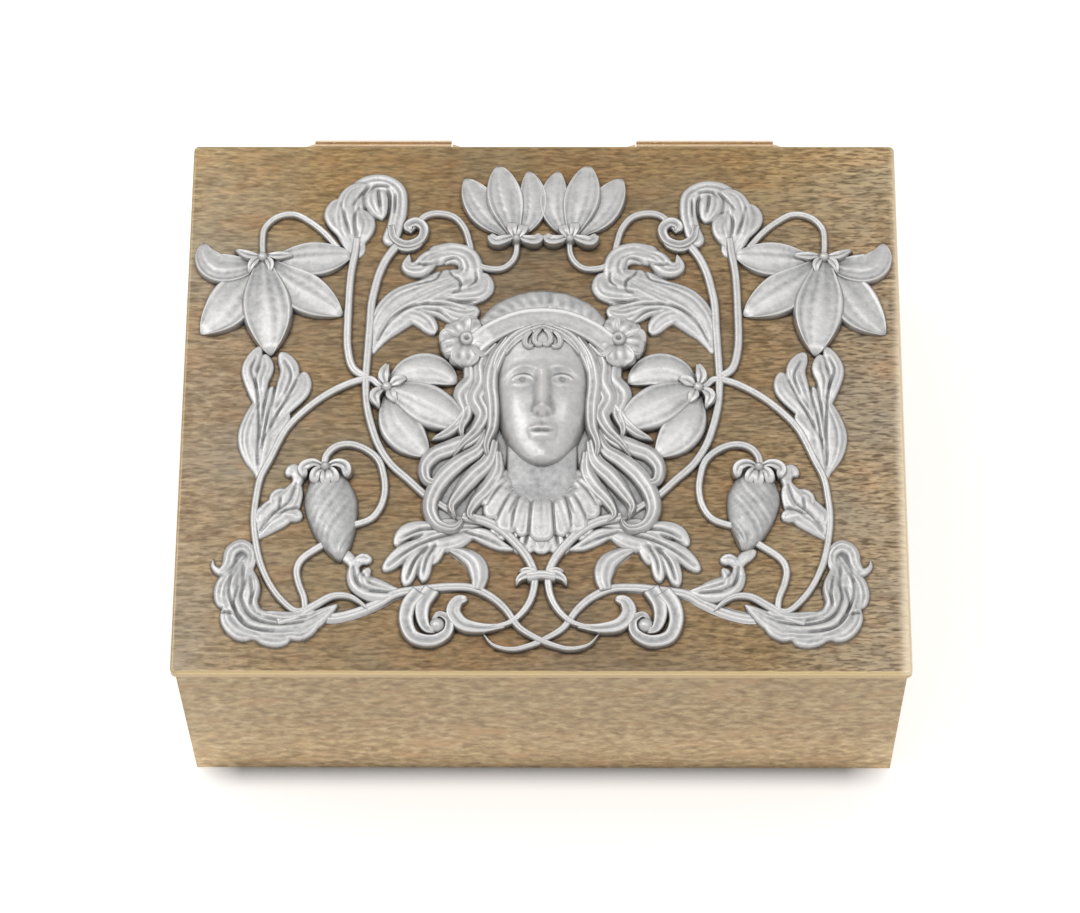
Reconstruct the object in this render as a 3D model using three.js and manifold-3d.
// A hinged table box of textured bronze sheet, lined with cedar. Its lid carries an openwork relief of
// cast silver: a head in a headband between two scrolling vines with flowers, buds and leaves.
// Millimetres. +X is right, +Y is back, +Z is up. The origin is the middle of the underside.
import * as THREE from "three";
import { mergeVertices } from "three/addons/utils/BufferGeometryUtils.js";
import Module from "manifold-3d";

const wasm = await Module();
wasm.setup();

// The lid and the body
const LID_WIDTH = 230;
const LID_DEPTH = 187;
const BOX_HEIGHT = 85; // underside to the lid's top face
const SHEET = 1; // bronze sheet of the walls, floor, lid plate and lid rim
const RIM_DEPTH = 5.5; // lid's top face to the rim's lower edge at the back, where the hinges are riveted to it
const FRONT_RIM_DEPTH = 3.3; // the same along the front and the sides
const BACK_RIM_LENGTH = 4; // how far the deeper back of the rim reaches round onto the sides
const RIM_CLEARANCE = 0.4; // between the walls and the rim that hangs outside them
const LID_CORNER = 1.8; // radius of the lid's upright corners
const CORNER_STEPS = 3;

// The cedar lining
const LINER = 4; // board thickness
const LID_LINER = 3;
const LID_LINER_INSET = 2.2; // lets the board swing past the back wall's top edge
const LINER_CLEARANCE = 0.3; // between the side boards' top edges and the lid's board

// Two stop hinges behind the back wall
const HINGE_LENGTH = 45;
const HINGE_OFFSET_SHARE = 0.23; // hinge middle from the centre line, as a share of the lid's width
const KNUCKLES = 5;
const KNUCKLE_GAP = 0.3; // between neighbouring knuckles
const BARREL_RADIUS = 1.6;
const BARREL_CLEARANCE = 0.3; // between the barrel and what turns round it
const BORE_RADIUS = 0.9;
const PIN_RADIUS = 0.7;
const PIN_HEAD = 3; // length of each tapered head
const PIN_HEAD_GAP = 0.3;
const LEAF = 0.8; // leaf thickness
const BASE_LEAF_HEIGHT = 10;
const LEAF_MARGIN = 0.5; // from the lid's top face to the lid leaf's upper edge
const HEEL_THICKNESS = 0.9; // of the stop bar that runs behind the barrel
const OPEN_ANGLE = 100; // degrees, where heel meets ledge
const HEEL_FROM_ANGLE = 25; // degrees above straight back
const HEEL_TO_ANGLE = 65;
const STOP_PLAY_ANGLE = 1;
const BARREL_SIDES = 12;

// Rivets through the hinge leaves
const RIVET_RADIUS = 0.8;
const RIVET_CLEARANCE = 0.2;
const RIVET_HEAD_RADIUS = 1.5;
const RIVET_HEAD_HEIGHT = 0.7;
const RIVET_SIDES = 8;
const RIVET_SPREAD_SHARE = 0.36; // of the hinge's length, each side of its middle

// The silver relief
const STEM = 1.55; // half width of a vine
const STEM_HEIGHT = 2.3;
const LOBE = 3; // half width of a leaf's lobe
const LOBE_HEIGHT = 2.2;
const PETAL = 6; // half width of a large petal
const PETAL_HEIGHT = 2.6;
const STRAND_STEP = 7; // length of one step along a swept strand
const LEAST_STEPS = 3;
const RELIEF_GAP = 0.3; // between neighbouring castings
const FACE_WIDTH = 31;
const FACE_LENGTH = 52;
const FACE_HEIGHT = 6.2;
const HAIR_HEIGHT = 4.6;
const HEADBAND_HEIGHT = 6.6;
const HEADBAND_WIDTH = 8.5;
const CAP_WIDTH = 9;
const NECK_WIDTH = 17;
const NECK_HEIGHT = 3.2;
const NOSE_LENGTH = 15;
const NOSE_WIDTH = 6;
const NOSE_HEIGHT = 4;
const ROSETTE_RADIUS = 7.5;
const ROSETTE_HEIGHT = 5;
const FACE_SIDES = 16;
const DOME_SIDES = 8;
const CUT_OVERRUN = 5; // how far a cutting shape runs past what it cuts

const BRONZE = 0x9b7f55;
const BRASS = 0xb59a5f;
const SILVER = 0xc9c9c8;
const CEDAR = 0x9a5f3c;

const bodyWidth = LID_WIDTH - 2 * (SHEET + RIM_CLEARANCE);
const bodyDepth = LID_DEPTH - 2 * (SHEET + RIM_CLEARANCE);
const wallTop = BOX_HEIGHT - SHEET;
const rimBottom = BOX_HEIGHT - RIM_DEPTH;
const halfWidth = LID_WIDTH / 2;
const halfDepth = LID_DEPTH / 2;

function solidOf(geometry) {
  const bare = geometry.clone();
  bare.deleteAttribute("normal");
  bare.deleteAttribute("uv");
  const merged = mergeVertices(bare, 1e-4);
  return new wasm.Manifold(
    new wasm.Mesh({
      numProp: 3,
      vertProperties: new Float32Array(merged.attributes.position.array),
      triVerts: new Uint32Array(merged.index.array),
    }),
  );
}

function geometryOf(solid) {
  const mesh = solid.getMesh();
  const geometry = new THREE.BufferGeometry();
  geometry.setAttribute("position", new THREE.BufferAttribute(mesh.vertProperties, 3));
  geometry.setIndex(new THREE.BufferAttribute(mesh.triVerts, 1));
  const flat = geometry.toNonIndexed();
  flat.computeVertexNormals();
  return flat;
}

function joined(solids) {
  return solids.reduce((whole, next) => whole.add(next));
}

function largest(solid) {
  return solid.decompose().reduce((most, next) => (next.volume() > most.volume() ? next : most));
}

// A shape drawn in X and Y, standing from z = low to z = high
function upright(shape, low, high) {
  const geometry = new THREE.ExtrudeGeometry(shape, { depth: high - low, bevelEnabled: false });
  return solidOf(geometry.translate(0, 0, low));
}

// A shape drawn in Y and Z, running from x = left to x = right
function sideways(shape, left, right) {
  const geometry = new THREE.ExtrudeGeometry(shape, { depth: right - left, bevelEnabled: false });
  geometry.rotateX(Math.PI / 2).rotateZ(Math.PI / 2);
  return solidOf(geometry.translate(left, 0, 0));
}

function polygon(points) {
  return new THREE.Shape(points.map(([a, b]) => new THREE.Vector2(a, b)));
}

function block(left, right, front, back, low, high) {
  return upright(polygon([[left, front], [right, front], [right, back], [left, back]]), low, high);
}

// A rod along X, round about (y, z)
function rodAlongX(radius, left, right, y, z, sides) {
  const rod = new THREE.CylinderGeometry(radius, radius, right - left, sides);
  return solidOf(rod.rotateZ(Math.PI / 2).translate((left + right) / 2, y, z));
}

// A rod along Y, round about (x, z)
function rodAlongY(radius, front, back, x, z, sides) {
  const rod = new THREE.CylinderGeometry(radius, radius, back - front, sides);
  return solidOf(rod.translate(x, (front + back) / 2, z));
}

function roundedRectangle(width, depth, radius) {
  const points = [];
  const corners = [[1, -1], [1, 1], [-1, 1], [-1, -1]];
  corners.forEach(([sx, sy], quarter) => {
    for (let step = 0; step <= CORNER_STEPS; step++) {
      const angle = (quarter - 1 + step / CORNER_STEPS) * (Math.PI / 2);
      points.push([
        sx * (width / 2 - radius) + radius * Math.cos(angle),
        sy * (depth / 2 - radius) + radius * Math.sin(angle),
      ]);
    }
  });
  return polygon(points);
}

const box = new THREE.Group();

function addPiece(name, solid, color, roughness, metalness) {
  const material = new THREE.MeshStandardMaterial({ color, roughness, metalness });
  const mesh = new THREE.Mesh(geometryOf(solid), material);
  mesh.name = name;
  box.add(mesh);
}

const addBronze = (name, solid) => addPiece(name, solid, BRONZE, 0.45, 1);
const addBrass = (name, solid) => addPiece(name, solid, BRASS, 0.35, 1);
const addSilver = (name, solid) => addPiece(name, solid, SILVER, 0.3, 1);
const addCedar = (name, solid) => addPiece(name, solid, CEDAR, 0.75, 0);

// Hinge places
const wallBack = bodyDepth / 2;
const rimBack = LID_DEPTH / 2;
const axisY = rimBack + BARREL_CLEARANCE + BARREL_RADIUS;
const axisZ = rimBottom;
const hingeMiddles = { left: -HINGE_OFFSET_SHARE * LID_WIDTH, right: HINGE_OFFSET_SHARE * LID_WIDTH };
const baseRivetZ = axisZ - BARREL_RADIUS - BARREL_CLEARANCE - HEEL_THICKNESS
  - (BASE_LEAF_HEIGHT - BARREL_RADIUS - BARREL_CLEARANCE - HEEL_THICKNESS) / 2;
const lidRivetZ = (axisZ + BARREL_RADIUS + BARREL_CLEARANCE + BOX_HEIGHT - SHEET) / 2;
const rivetOffsets = [-RIVET_SPREAD_SHARE * HINGE_LENGTH, RIVET_SPREAD_SHARE * HINGE_LENGTH];

// The holes for one row of rivets, as one cutting solid
function rivetHoles(z, front, back) {
  const holes = [];
  for (const middle of Object.values(hingeMiddles)) {
    for (const offset of rivetOffsets) {
      const radius = RIVET_RADIUS + RIVET_CLEARANCE;
      holes.push(rodAlongY(radius, front - CUT_OVERRUN, back + CUT_OVERRUN, middle + offset, z, RIVET_SIDES));
    }
  }
  return joined(holes);
}

// Four wall sheets with mitred corners, and the floor sheet inside them
function buildWalls() {
  const w = bodyWidth / 2;
  const d = bodyDepth / 2;
  const t = SHEET;
  const wall = (points) => upright(polygon(points), 0, wallTop);
  addBronze("wall_front", wall([[-w, -d], [w, -d], [w - t, -d + t], [-w + t, -d + t]]));
  const back = wall([[w, d], [-w, d], [-w + t, d - t], [w - t, d - t]]);
  addBronze("wall_back", back.subtract(rivetHoles(baseRivetZ, d - t, d)));
  addBronze("wall_left", wall([[-w, d], [-w, -d], [-w + t, -d + t], [-w + t, d - t]]));
  addBronze("wall_right", wall([[w, -d], [w, d], [w - t, d - t], [w - t, -d + t]]));
  addBronze("floor_plate", block(-w + t, w - t, -d + t, d - t, 0, t));
}

// Cedar boards: the floor board first, the long boards between the walls, the short ones between those
function buildLining() {
  const w = bodyWidth / 2 - SHEET;
  const d = bodyDepth / 2 - SHEET;
  const low = SHEET + LINER;
  const high = wallTop - LID_LINER - LINER_CLEARANCE;
  addCedar("liner_floor", block(-w, w, -d, d, SHEET, low));
  addCedar("liner_front", block(-w, w, -d, -d + LINER, low, high));
  addCedar("liner_back", block(-w, w, d - LINER, d, low, high));
  addCedar("liner_left", block(-w, -w + LINER, -d + LINER, d - LINER, low, high));
  addCedar("liner_right", block(w - LINER, w, -d + LINER, d - LINER, low, high));
  const lidW = w - LID_LINER_INSET;
  const lidD = d - LID_LINER_INSET;
  addCedar("lid_liner", block(-lidW, lidW, -lidD, lidD, wallTop - LID_LINER, wallTop));
}

// The lid's top sheet, and the rim band soldered under its edge
function buildLid() {
  const outline = roundedRectangle(LID_WIDTH, LID_DEPTH, LID_CORNER);
  addBronze("lid_plate", upright(outline, wallTop, BOX_HEIGHT));
  const inner = roundedRectangle(LID_WIDTH - 2 * SHEET, LID_DEPTH - 2 * SHEET, LID_CORNER - SHEET);
  const under = block(-LID_WIDTH, LID_WIDTH, -LID_DEPTH, rimBack - BACK_RIM_LENGTH,
    rimBottom - CUT_OVERRUN, BOX_HEIGHT - FRONT_RIM_DEPTH);
  const rim = upright(outline, rimBottom, wallTop)
    .subtract(upright(inner, rimBottom - CUT_OVERRUN, wallTop + CUT_OVERRUN))
    .subtract(under);
  addBronze("lid_rim", rim.subtract(rivetHoles(lidRivetZ, rimBack - SHEET, rimBack)));
}

const radians = (degrees) => (degrees * Math.PI) / 180;
const aboutAxis = (radius, degrees) => [
  axisY + radius * Math.cos(radians(degrees)),
  axisZ + radius * Math.sin(radians(degrees)),
];

// One hinge: knuckles are dealt to the two leaves in turn, base leaf first
function buildHinge(side) {
  const middle = hingeMiddles[side];
  const pitch = HINGE_LENGTH / KNUCKLES;
  const left = middle - HINGE_LENGTH / 2;
  const right = middle + HINGE_LENGTH / 2;
  const clear = BARREL_RADIUS + BARREL_CLEARANCE;
  const outer = clear + HEEL_THICKNESS;
  const leafBack = rimBack + LEAF;
  const knuckles = { base: [], lid: [] };
  const reliefs = { base: [], lid: [] }; // the room each leaf leaves for the other's knuckles
  for (let k = 0; k < KNUCKLES; k++) {
    const own = k % 2 === 0 ? "base" : "lid";
    const other = own === "base" ? "lid" : "base";
    const from = left + k * pitch;
    const to = from + pitch;
    knuckles[own].push(
      rodAlongX(BARREL_RADIUS, from + KNUCKLE_GAP / 2, to - KNUCKLE_GAP / 2, axisY, axisZ, BARREL_SIDES),
    );
    reliefs[other].push(
      rodAlongX(clear, from - KNUCKLE_GAP / 2, to + KNUCKLE_GAP / 2, axisY, axisZ, BARREL_SIDES),
    );
  }
  const bore = rodAlongX(BORE_RADIUS, left - CUT_OVERRUN, right + CUT_OVERRUN, axisY, axisZ, BARREL_SIDES);

  // Lid leaf: a plate on the rim, its knuckles, and a heel bar behind them held by a web at each knuckle
  const leafTop = BOX_HEIGHT - LEAF_MARGIN;
  const plate = block(left, right, rimBack, leafBack, axisZ + KNUCKLE_GAP, leafTop);
  const heel = sideways(
    polygon([
      aboutAxis(clear, HEEL_FROM_ANGLE),
      aboutAxis(outer, HEEL_FROM_ANGLE),
      aboutAxis(outer, HEEL_TO_ANGLE),
      aboutAxis(clear, HEEL_TO_ANGLE),
    ]),
    left, right,
  );
  const web = polygon([
    aboutAxis(BORE_RADIUS, HEEL_FROM_ANGLE),
    aboutAxis(clear + HEEL_THICKNESS / 2, HEEL_FROM_ANGLE),
    aboutAxis(clear + HEEL_THICKNESS / 2, HEEL_TO_ANGLE),
    aboutAxis(BORE_RADIUS, HEEL_TO_ANGLE),
  ]);
  const webs = [];
  for (let k = 1; k < KNUCKLES; k += 2) {
    webs.push(sideways(web, left + k * pitch + KNUCKLE_GAP / 2, left + (k + 1) * pitch - KNUCKLE_GAP / 2));
  }
  const lidLeaf = joined([plate.subtract(joined(reliefs.lid)), ...knuckles.lid, ...webs, heel])
    .subtract(bore)
    .subtract(rivetHoles(lidRivetZ, rimBack, leafBack));
  addBrass(`hinge_${side}_lid_leaf`, lidLeaf);

  // Base leaf: a plate below the barrel, its knuckles, and the ledge that the heel comes down on
  const stopAngle = HEEL_FROM_ANGLE - OPEN_ANGLE - STOP_PLAY_ANGLE;
  const ledge = sideways(
    polygon([
      [rimBack, axisZ - clear],
      aboutAxis(clear, stopAngle),
      aboutAxis(outer, stopAngle),
      [rimBack, axisZ - outer],
    ]),
    left, right,
  );
  const basePlate = block(left, right, rimBack, leafBack, axisZ - BASE_LEAF_HEIGHT, axisZ - KNUCKLE_GAP);
  const baseLeaf = joined([basePlate.subtract(joined(reliefs.base)), ...knuckles.base, ledge])
    .subtract(bore)
    .subtract(rivetHoles(baseRivetZ, rimBack, leafBack));
  addBrass(`hinge_${side}_base_leaf`, baseLeaf);

  // The bearer packs the base leaf out from the wall, level with the rim
  const bearer = block(left, right, wallBack, rimBack, axisZ - BASE_LEAF_HEIGHT, axisZ - KNUCKLE_GAP);
  addBronze(`hinge_${side}_bearer`, bearer.subtract(rivetHoles(baseRivetZ, wallBack, rimBack)));

  // The pin, with a tapered head beyond each end knuckle
  const half = HINGE_LENGTH / 2;
  const profile = [
    [0, -half - PIN_HEAD], [PIN_RADIUS, -half - PIN_HEAD],
    [BARREL_RADIUS, -half - PIN_HEAD_GAP], [PIN_RADIUS, -half - PIN_HEAD_GAP],
    [PIN_RADIUS, half + PIN_HEAD_GAP], [BARREL_RADIUS, half + PIN_HEAD_GAP],
    [PIN_RADIUS, half + PIN_HEAD], [0, half + PIN_HEAD],
  ].map(([r, along]) => new THREE.Vector2(r, along));
  const pin = new THREE.LatheGeometry(profile, BARREL_SIDES).rotateZ(-Math.PI / 2);
  addBrass(`hinge_${side}_pin`, solidOf(pin.translate(middle, axisY, axisZ)));

  // Rivets: base ones reach through leaf, bearer and wall, lid ones through leaf and rim
  rivetOffsets.forEach((offset, n) => {
    const inner = n === 0 ? "a" : "b";
    addBrass(`rivet_${side}_base_${inner}`, rivet(middle + offset, baseRivetZ, wallBack - SHEET, leafBack));
    addBrass(`rivet_${side}_lid_${inner}`, rivet(middle + offset, lidRivetZ, rimBack - SHEET, leafBack));
  });
}

// A rivet along Y: its shank ends flush inside and its domed head stands on the leaf
function rivet(x, z, front, headSeat) {
  const profile = [
    [0, front], [RIVET_RADIUS, front], [RIVET_RADIUS, headSeat], [RIVET_HEAD_RADIUS, headSeat],
    [RIVET_HEAD_RADIUS * 0.75, headSeat + RIVET_HEAD_HEIGHT * 0.7], [0, headSeat + RIVET_HEAD_HEIGHT],
  ].map(([r, along]) => new THREE.Vector2(r, along));
  return solidOf(new THREE.LatheGeometry(profile, RIVET_SIDES).translate(x, 0, z));
}

// The relief is laid out in shares of the lid's half width and half depth, on its left half; the right
// half mirrors it. Each strand is a curve with a domed section that swells and tapers along it.
const stemForm = { halfWidth: STEM, height: STEM_HEIGHT, rootShare: 1, peakShare: 0.5, tipShare: 0.8 };
const lobeForm = { halfWidth: LOBE, height: LOBE_HEIGHT, rootShare: 0.5, peakShare: 0.5, tipShare: 0.25 };
const petalForm = { halfWidth: PETAL, height: PETAL_HEIGHT, rootShare: 0.4, peakShare: 0.5, tipShare: 0.2 };
const stem = (widthShare, pathShares) => ({ form: stemForm, widthShare, pathShares });
const lobe = (widthShare, pathShares) => ({ form: lobeForm, widthShare, pathShares });
const petal = (widthShare, pathShares) => ({ form: petalForm, widthShare, pathShares });

const VINE_SHARES = [
  stem(1, [[-0.585, 0.6], [-0.62, 0.655], [-0.71, 0.735], [-0.76, 0.725], [-0.8, 0.64], [-0.797, 0.585]]),
  stem(1, [[-0.5, 0.1], [-0.535, 0.13], [-0.548, 0.2], [-0.55, 0.35], [-0.545, 0.5], [-0.535, 0.58],
    [-0.53, 0.62]]),
  stem(1, [[-0.53, 0.615], [-0.56, 0.6], [-0.59, 0.605]]),
  stem(1, [[-0.42, 0.605], [-0.465, 0.5], [-0.485, 0.38], [-0.492, 0.2], [-0.495, 0.05], [-0.475, -0.1],
    [-0.42, -0.24], [-0.37, -0.3], [-0.3, -0.38]]),
  stem(1, [[-0.385, 0.665], [-0.335, 0.73], [-0.3, 0.74], [-0.255, 0.725], [-0.21, 0.62], [-0.18, 0.53],
    [-0.15, 0.518], [-0.1, 0.535], [-0.077, 0.58], [-0.074, 0.64]]),
  stem(1, [[-0.43, 0.66], [-0.41, 0.615], [-0.37, 0.61], [-0.34, 0.64], [-0.34, 0.68], [-0.36, 0.7]]),
  stem(1, [[-0.455, 0.06], [-0.48, 0.085], [-0.53, 0.075], [-0.6, 0.03], [-0.66, -0.03], [-0.71, -0.1],
    [-0.755, -0.22], [-0.79, -0.36], [-0.795, -0.45], [-0.785, -0.55], [-0.745, -0.69], [-0.71, -0.75],
    [-0.67, -0.79], [-0.63, -0.78]]),
  stem(1, [[-0.6, -0.25], [-0.6, -0.21], [-0.575, -0.175], [-0.535, -0.165], [-0.49, -0.185],
    [-0.455, -0.225], [-0.435, -0.34], [-0.445, -0.4], [-0.505, -0.465]]),
  stem(1, [[-0.63, -0.57], [-0.66, -0.6], [-0.672, -0.64], [-0.665, -0.69], [-0.65, -0.74], [-0.65, -0.79]]),
  stem(1, [[-0.68, -0.81], [-0.62, -0.77], [-0.57, -0.735], [-0.53, -0.735], [-0.5, -0.755], [-0.48, -0.79]]),
];
const LOWER_VINE_SHARES = [
  stem(1, [[-0.6, -0.83], [-0.56, -0.81], [-0.5, -0.79], [-0.44, -0.755], [-0.4, -0.725], [-0.33, -0.71],
    [-0.25, -0.7], [-0.19, -0.705], [-0.14, -0.735], [-0.1, -0.78], [-0.06, -0.85], [-0.02, -0.885],
    [0.03, -0.915], [0.08, -0.93], [0.13, -0.91], [0.15, -0.85]]),
  stem(1, [[-0.22, -0.44], [-0.16, -0.455], [-0.11, -0.49], [-0.07, -0.54], [-0.04, -0.59], [-0.02, -0.65],
    [-0.02, -0.7], [-0.03, -0.75], [-0.055, -0.8], [-0.09, -0.835], [-0.15, -0.85], [-0.2, -0.84],
    [-0.235, -0.8], [-0.235, -0.76], [-0.21, -0.745]]),
  stem(1.4, [[-0.27, -0.62], [-0.23, -0.565], [-0.2, -0.56], [-0.17, -0.59], [-0.155, -0.64],
    [-0.165, -0.71]]),
  stem(1, [[-0.34, -0.71], [-0.35, -0.755], [-0.365, -0.8], [-0.36, -0.855], [-0.33, -0.89], [-0.29, -0.895],
    [-0.26, -0.87], [-0.25, -0.83], [-0.27, -0.81]]),
  stem(2, [[-0.06, -0.67], [-0.03, -0.66], [0, -0.66]]),
];
const LILY_SHARES = [
  petal(0.7, [[-0.79, 0.55], [-0.88, 0.515], [-0.94, 0.505], [-0.97, 0.54], [-0.965, 0.61]]),
  petal(0.95, [[-0.8, 0.54], [-0.88, 0.42], [-0.92, 0.34], [-0.96, 0.275]]),
  petal(1.2, [[-0.795, 0.55], [-0.785, 0.42], [-0.77, 0.31], [-0.765, 0.18]]),
  petal(0.95, [[-0.79, 0.54], [-0.7, 0.45], [-0.63, 0.39], [-0.575, 0.335]]),
  petal(0.95, [[-0.79, 0.55], [-0.69, 0.54], [-0.62, 0.55], [-0.555, 0.585]]),
];
const TULIP_SHARES = [
  petal(0.75, [[-0.08, 0.64], [-0.15, 0.7], [-0.2, 0.79], [-0.22, 0.87]]),
  petal(0.75, [[-0.08, 0.65], [-0.115, 0.77], [-0.12, 0.85], [-0.125, 0.925]]),
  petal(0.65, [[-0.08, 0.65], [-0.04, 0.76], [-0.035, 0.83], [-0.045, 0.91]]),
  lobe(1, [[-0.08, 0.645], [-0.13, 0.62], [-0.155, 0.65]]),
  lobe(1, [[-0.08, 0.645], [-0.035, 0.62], [-0.01, 0.65]]),
];
const BELLFLOWER_SHARES = [
  petal(1, [[-0.45, 0.05], [-0.35, 0.11], [-0.3, 0.105], [-0.245, 0.09]]),
  petal(1, [[-0.45, 0.05], [-0.35, 0], [-0.28, -0.055], [-0.225, -0.09]]),
  petal(0.9, [[-0.44, 0.04], [-0.4, -0.08], [-0.37, -0.15], [-0.33, -0.2]]),
  lobe(1, [[-0.43, 0.04], [-0.425, 0.09], [-0.43, 0.14]]),
];
const CREST_LEAF_SHARES = [
  lobe(0.8, [[-0.53, 0.64], [-0.57, 0.67], [-0.61, 0.75], [-0.595, 0.81]]),
  lobe(1, [[-0.53, 0.64], [-0.555, 0.74], [-0.56, 0.82], [-0.54, 0.87]]),
  lobe(0.8, [[-0.53, 0.64], [-0.5, 0.67], [-0.49, 0.71], [-0.52, 0.74]]),
  stem(1.7, [[-0.555, 0.8], [-0.55, 0.84], [-0.5, 0.875], [-0.455, 0.875], [-0.415, 0.845], [-0.405, 0.79],
    [-0.41, 0.72], [-0.43, 0.68]]),
];
const HOOK_LEAF_SHARES = [
  lobe(1.5, [[-0.47, 0.215], [-0.44, 0.31], [-0.4, 0.38], [-0.34, 0.42], [-0.27, 0.44], [-0.16, 0.45]]),
  lobe(1.3, [[-0.3, 0.43], [-0.2, 0.46], [-0.19, 0.54], [-0.24, 0.585], [-0.31, 0.585], [-0.375, 0.54]]),
  lobe(1.1, [[-0.32, 0.41], [-0.25, 0.4], [-0.2, 0.36], [-0.2, 0.31]]),
  lobe(1.2, [[-0.46, 0.23], [-0.42, 0.31], [-0.36, 0.32], [-0.32, 0.29], [-0.26, 0.3]]),
];
const SIDE_LEAF_SHARES = [
  lobe(1.6, [[-0.79, -0.28], [-0.8, -0.18], [-0.79, -0.08], [-0.76, 0.02], [-0.75, 0.12], [-0.765, 0.2]]),
  lobe(1, [[-0.79, -0.08], [-0.81, 0.02], [-0.82, 0.08], [-0.83, 0.14], [-0.8, 0.2]]),
  lobe(1.1, [[-0.77, -0.02], [-0.7, 0.05], [-0.68, 0.11], [-0.74, 0.19]]),
  lobe(1.1, [[-0.79, -0.14], [-0.72, -0.08], [-0.67, -0.01], [-0.66, 0.08]]),
];
const CORNER_LEAF_SHARES = [
  lobe(1.7, [[-0.82, -0.58], [-0.835, -0.66], [-0.84, -0.74], [-0.82, -0.81], [-0.77, -0.86], [-0.7, -0.87],
    [-0.62, -0.83]]),
  lobe(1.1, [[-0.82, -0.66], [-0.81, -0.57], [-0.85, -0.56], [-0.87, -0.63], [-0.9, -0.62]]),
  lobe(1, [[-0.84, -0.72], [-0.88, -0.77], [-0.86, -0.85], [-0.77, -0.91]]),
  lobe(0.8, [[-0.82, -0.8], [-0.76, -0.78], [-0.7, -0.81]]),
];
const BUD_SHARES = [
  petal(1.25, [[-0.6, -0.27], [-0.585, -0.42], [-0.57, -0.52], [-0.55, -0.63]]),
  lobe(1, [[-0.6, -0.33], [-0.65, -0.3], [-0.665, -0.25]]),
  lobe(1, [[-0.6, -0.33], [-0.55, -0.3], [-0.535, -0.25]]),
];
const BUD_LEAF_SHARES = [
  lobe(1.2, [[-0.785, -0.52], [-0.77, -0.46], [-0.73, -0.4], [-0.69, -0.35], [-0.665, -0.28]]),
  lobe(0.9, [[-0.765, -0.44], [-0.73, -0.45], [-0.68, -0.44]]),
];
const FAN_LEAF_SHARES = [
  lobe(1.2, [[-0.2, -0.5], [-0.31, -0.485], [-0.37, -0.49], [-0.41, -0.53]]),
  lobe(1.3, [[-0.2, -0.5], [-0.3, -0.54], [-0.38, -0.59], [-0.43, -0.63]]),
  lobe(1.1, [[-0.22, -0.5], [-0.31, -0.58], [-0.36, -0.65], [-0.385, -0.69]]),
  lobe(0.9, [[-0.22, -0.51], [-0.29, -0.56], [-0.32, -0.62], [-0.325, -0.67]]),
];
const CURL_LEAF_SHARES = [
  lobe(1.3, [[-0.41, -0.735], [-0.46, -0.72], [-0.5, -0.7], [-0.52, -0.65], [-0.51, -0.6], [-0.54, -0.57]]),
  lobe(0.9, [[-0.48, -0.71], [-0.46, -0.67], [-0.47, -0.63], [-0.45, -0.6]]),
];
const HAIR_SHARES = [
  lobe(1.7, [[-0.12, 0.2], [-0.17, 0.12], [-0.185, 0.02], [-0.2, -0.08], [-0.24, -0.15], [-0.27, -0.24]]),
  lobe(1.5, [[-0.15, 0.1], [-0.2, 0.02], [-0.23, -0.08], [-0.23, -0.18], [-0.28, -0.27], [-0.3, -0.3]]),
  lobe(1.7, [[-0.14, 0.05], [-0.17, -0.08], [-0.19, -0.2], [-0.23, -0.32], [-0.27, -0.4], [-0.29, -0.45]]),
  lobe(1.6, [[-0.14, -0.02], [-0.15, -0.15], [-0.16, -0.27], [-0.2, -0.38], [-0.22, -0.42]]),
];
const COLLAR_SHARES = [
  petal(1, [[-0.08, -0.3], [-0.14, -0.34], [-0.17, -0.38]]),
  petal(0.85, [[-0.06, -0.31], [-0.11, -0.4], [-0.13, -0.46]]),
  petal(0.85, [[-0.04, -0.32], [-0.07, -0.42], [-0.085, -0.51]]),
  petal(0.85, [[-0.02, -0.32], [-0.03, -0.44], [-0.04, -0.545]]),
];
const HEADBAND_SHARES = [
  [-0.165, 0.2], [-0.13, 0.25], [-0.075, 0.29], [0, 0.31], [0.075, 0.29], [0.13, 0.25], [0.165, 0.2],
];
const CAP_SHARES = [
  [-0.15, 0.27], [-0.1, 0.33], [-0.05, 0.36], [0, 0.37], [0.05, 0.36], [0.1, 0.33], [0.15, 0.27],
];
const ROSETTE_SHARE = [-0.22, 0.23];
const FACE_PLACE_SHARE = -0.005; // of the half depth, from the lid's middle to the head's
const NECK_SHARES = [[0, -0.15], [0, -0.25], [0, -0.36]];

const sides = [[1, "left"], [-1, "right"]];
const placed = ([x, y], side) => new THREE.Vector3(side * x * halfWidth, y * halfDepth, 0);

// A strand's width at a share of its length, as a share of its full width
function swell({ rootShare, peakShare, tipShare }, along) {
  if (along < peakShare) {
    return rootShare + (1 - rootShare) * Math.sin((along / peakShare) * (Math.PI / 2));
  }
  const past = (along - peakShare) / (1 - peakShare);
  return tipShare + (1 - tipShare) * Math.cos(past * (Math.PI / 2));
}

// Sections across a strand: shares of its half width, and levels: 0 on the lid, 1 its top, -1 below the lid
const SECTION_SHARES = [[-1, 0], [1, 0], [0.5, 1], [-0.5, 1]];
const CUTTER_SECTION_SHARES = [[-1, -1], [1, -1], [1, 0], [0.5, 1], [-0.5, 1], [-1, 0]];

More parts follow.
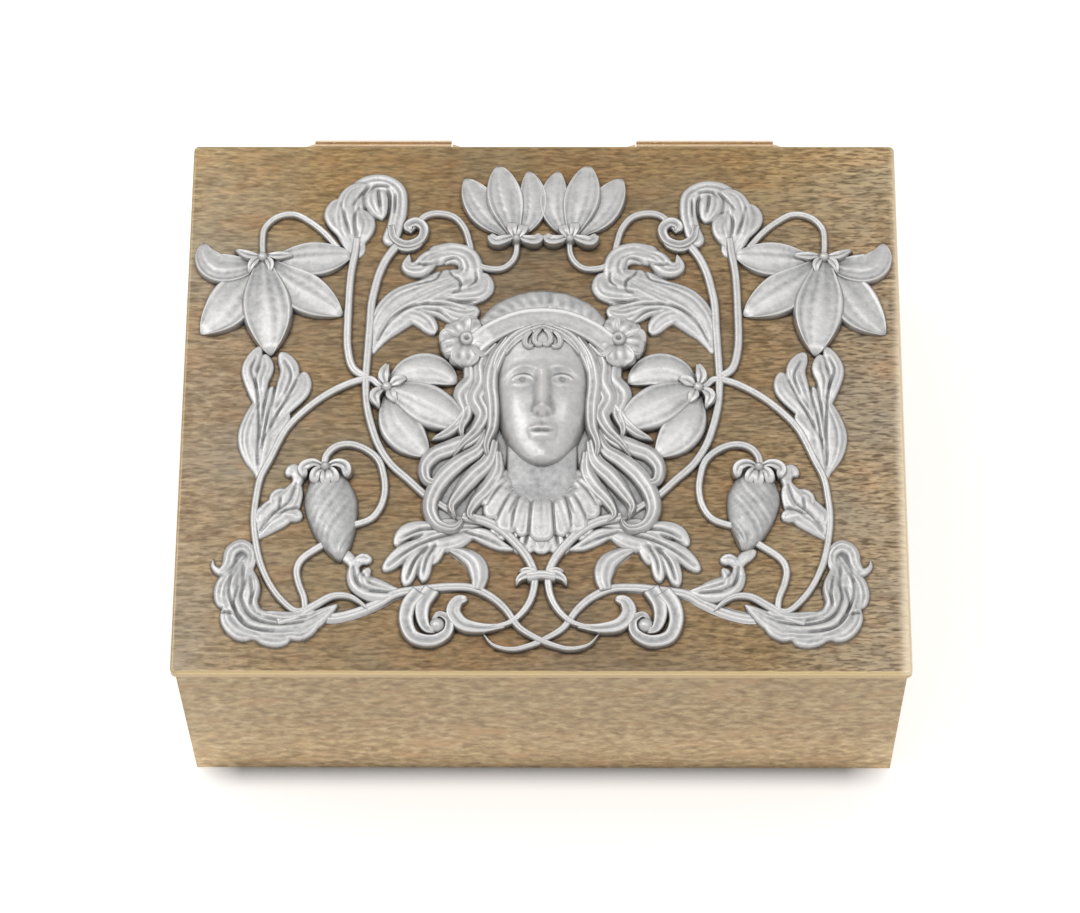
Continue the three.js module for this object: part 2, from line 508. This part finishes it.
// One strand lying on the lid. With grow it is larger all round, as the room that a neighbour leaves it
function strand({ form, widthShare, pathShares }, side, grow) {
  const path = pathShares.map((point) => placed(point, side));
  const curve = new THREE.CatmullRomCurve3(path, false, "centripetal");
  const steps = Math.max(LEAST_STEPS, Math.ceil(curve.getLength() / STRAND_STEP));
  const section = grow > 0 ? CUTTER_SECTION_SHARES : SECTION_SHARES;
  const vertices = [];
  const faces = [];
  for (let step = 0; step <= steps; step++) {
    const at = curve.getPointAt(step / steps);
    const along = curve.getTangentAt(step / steps);
    const share = swell(form, step / steps);
    const width = form.halfWidth * widthShare * share + grow;
    const height = form.height * (0.5 + 0.5 * share) + grow;
    if (step === 0) at.addScaledVector(along, -grow);
    if (step === steps) at.addScaledVector(along, grow);
    for (const [across, level] of section) {
      const z = BOX_HEIGHT + level * (level > 0 ? height : CUT_OVERRUN);
      vertices.push(at.x - along.y * across * width, at.y + along.x * across * width, z);
    }
  }
  const count = section.length;
  for (let step = 0; step < steps; step++) {
    for (let k = 0; k < count; k++) {
      const a = step * count + k;
      const b = step * count + ((k + 1) % count);
      faces.push(a, b, b + count, a, b + count, a + count);
    }
  }
  const last = steps * count;
  for (let k = 1; k < count - 1; k++) {
    faces.push(0, k + 1, k, last, last + k, last + k + 1);
  }
  const geometry = new THREE.BufferGeometry();
  geometry.setAttribute("position", new THREE.Float32BufferAttribute(vertices, 3));
  geometry.setIndex(faces);
  return solidOf(geometry);
}

const strands = (shares, side, grow) => joined(shares.map((share) => strand(share, side, grow)));

// A round dome lying on the lid
function dome(placeShare, radius, height, side, grow) {
  const middle = placed(placeShare, side);
  const low = BOX_HEIGHT - (grow > 0 ? CUT_OVERRUN : 0);
  const r = radius + grow;
  const top = BOX_HEIGHT + height + grow;
  const profile = [[0, low], [r, low], [r, BOX_HEIGHT + grow], [r * 0.75, top - height * 0.35], [0, top]];
  const turned = new THREE.LatheGeometry(profile.map(([a, b]) => new THREE.Vector2(a, b)), DOME_SIDES);
  return solidOf(turned.rotateX(Math.PI / 2).translate(middle.x, middle.y, 0));
}

// The castings already on the lid, each grown by the gap that later ones leave round it
let taken = block(0, RELIEF_GAP, 0, RELIEF_GAP, 0, RELIEF_GAP);

// Adds a casting, cut back from those before it. Chips that a cut leaves loose are filed away
function addCasting(name, makeSolid) {
  addSilver(name, largest(makeSolid(0).subtract(taken)));
  taken = taken.add(makeSolid(RELIEF_GAP));
}

// The head: a domed oval with a plain nose, on a rounded neck
function head(grow) {
  const low = BOX_HEIGHT - (grow > 0 ? CUT_OVERRUN : 0);
  const oval = new THREE.SphereGeometry(1, FACE_SIDES, FACE_SIDES / 2).rotateX(Math.PI / 2);
  oval.scale(FACE_WIDTH / 2 + grow, FACE_LENGTH / 2 + grow, FACE_HEIGHT + grow);
  oval.translate(0, FACE_PLACE_SHARE * halfDepth, BOX_HEIGHT);
  const room = block(-halfWidth, halfWidth, -halfDepth, halfDepth, low, BOX_HEIGHT + 2 * FACE_HEIGHT);
  const neckForm = { ...stemForm, halfWidth: NECK_WIDTH / 2, height: NECK_HEIGHT, tipShare: 1 };
  const neck = strand({ form: neckForm, widthShare: 1, pathShares: NECK_SHARES }, 1, grow);
  const whole = solidOf(oval).intersect(room).add(neck);
  return grow > 0 ? whole : whole.add(nose());
}

// A plain wedge down the middle of the face
function nose() {
  const wedge = new THREE.ConeGeometry(NOSE_WIDTH / 2, NOSE_LENGTH, 4);
  wedge.scale(1, 1, NOSE_HEIGHT / NOSE_WIDTH);
  return solidOf(wedge.translate(0, FACE_PLACE_SHARE * halfDepth, BOX_HEIGHT + FACE_HEIGHT));
}

function buildMask() {
  addCasting("mask_face", head);
  const bandForm = { ...stemForm, halfWidth: HEADBAND_WIDTH / 2, height: HEADBAND_HEIGHT, tipShare: 1 };
  const capForm = { ...bandForm, halfWidth: CAP_WIDTH / 2, height: HAIR_HEIGHT };
  addCasting("mask_headband", (grow) => strands([
    { form: bandForm, widthShare: 1, pathShares: HEADBAND_SHARES },
    { form: capForm, widthShare: 1, pathShares: CAP_SHARES },
  ], 1, grow));
  for (const [side, word] of sides) {
    addCasting(`mask_rosette_${word}`, (grow) => rosette(side, grow));
  }
  addCasting("mask_collar", (grow) => strands(COLLAR_SHARES, 1, grow).add(strands(COLLAR_SHARES, -1, grow)));
  for (const [side, word] of sides) {
    const locks = HAIR_SHARES.map((lock) => ({ ...lock, form: { ...lobeForm, height: HAIR_HEIGHT } }));
    addCasting(`mask_hair_${word}`, (grow) => strands(locks, side, grow));
  }
}

// Five round petals about a boss
function rosette(side, grow) {
  const [x, y] = ROSETTE_SHARE;
  const parts = [dome(ROSETTE_SHARE, ROSETTE_RADIUS * 0.45, ROSETTE_HEIGHT, side, grow)];
  for (let n = 0; n < 5; n++) {
    const angle = Math.PI / 2 + (n * 2 * Math.PI) / 5;
    const reach = ROSETTE_RADIUS * 0.6;
    const at = [x + (reach * Math.cos(angle)) / halfWidth, y + (reach * Math.sin(angle)) / halfDepth];
    parts.push(dome(at, ROSETTE_RADIUS * 0.42, ROSETTE_HEIGHT * 0.75, side, grow));
  }
  return joined(parts);
}

const FLOWER_PIECES = [
  ["lily", LILY_SHARES], ["tulip", TULIP_SHARES], ["bellflower", BELLFLOWER_SHARES], ["bud", BUD_SHARES],
];
const LEAF_PIECES = [
  ["crest_leaf", CREST_LEAF_SHARES], ["hook_leaf", HOOK_LEAF_SHARES], ["side_leaf", SIDE_LEAF_SHARES],
  ["corner_leaf", CORNER_LEAF_SHARES], ["bud_leaf", BUD_LEAF_SHARES], ["fan_leaf", FAN_LEAF_SHARES],
];

function buildRelief() {
  buildMask();
  for (const [name, shares] of FLOWER_PIECES) {
    for (const [side, word] of sides) {
      addCasting(`${name}_${word}`, (grow) => strands(shares, side, grow));
    }
  }
  const lower = [...LOWER_VINE_SHARES, ...CURL_LEAF_SHARES];
  addCasting("lower_vines", (grow) => strands(lower, 1, grow).add(strands(lower, -1, grow)));
  for (const [side, word] of sides) {
    addCasting(`vine_${word}`, (grow) => strands(VINE_SHARES, side, grow));
  }
  for (const [name, shares] of LEAF_PIECES) {
    for (const [side, word] of sides) {
      addCasting(`${name}_${word}`, (grow) => strands(shares, side, grow));
    }
  }
}

buildWalls();
buildLining();
buildLid();
buildHinge("left");
buildHinge("right");
buildRelief();

export default box;
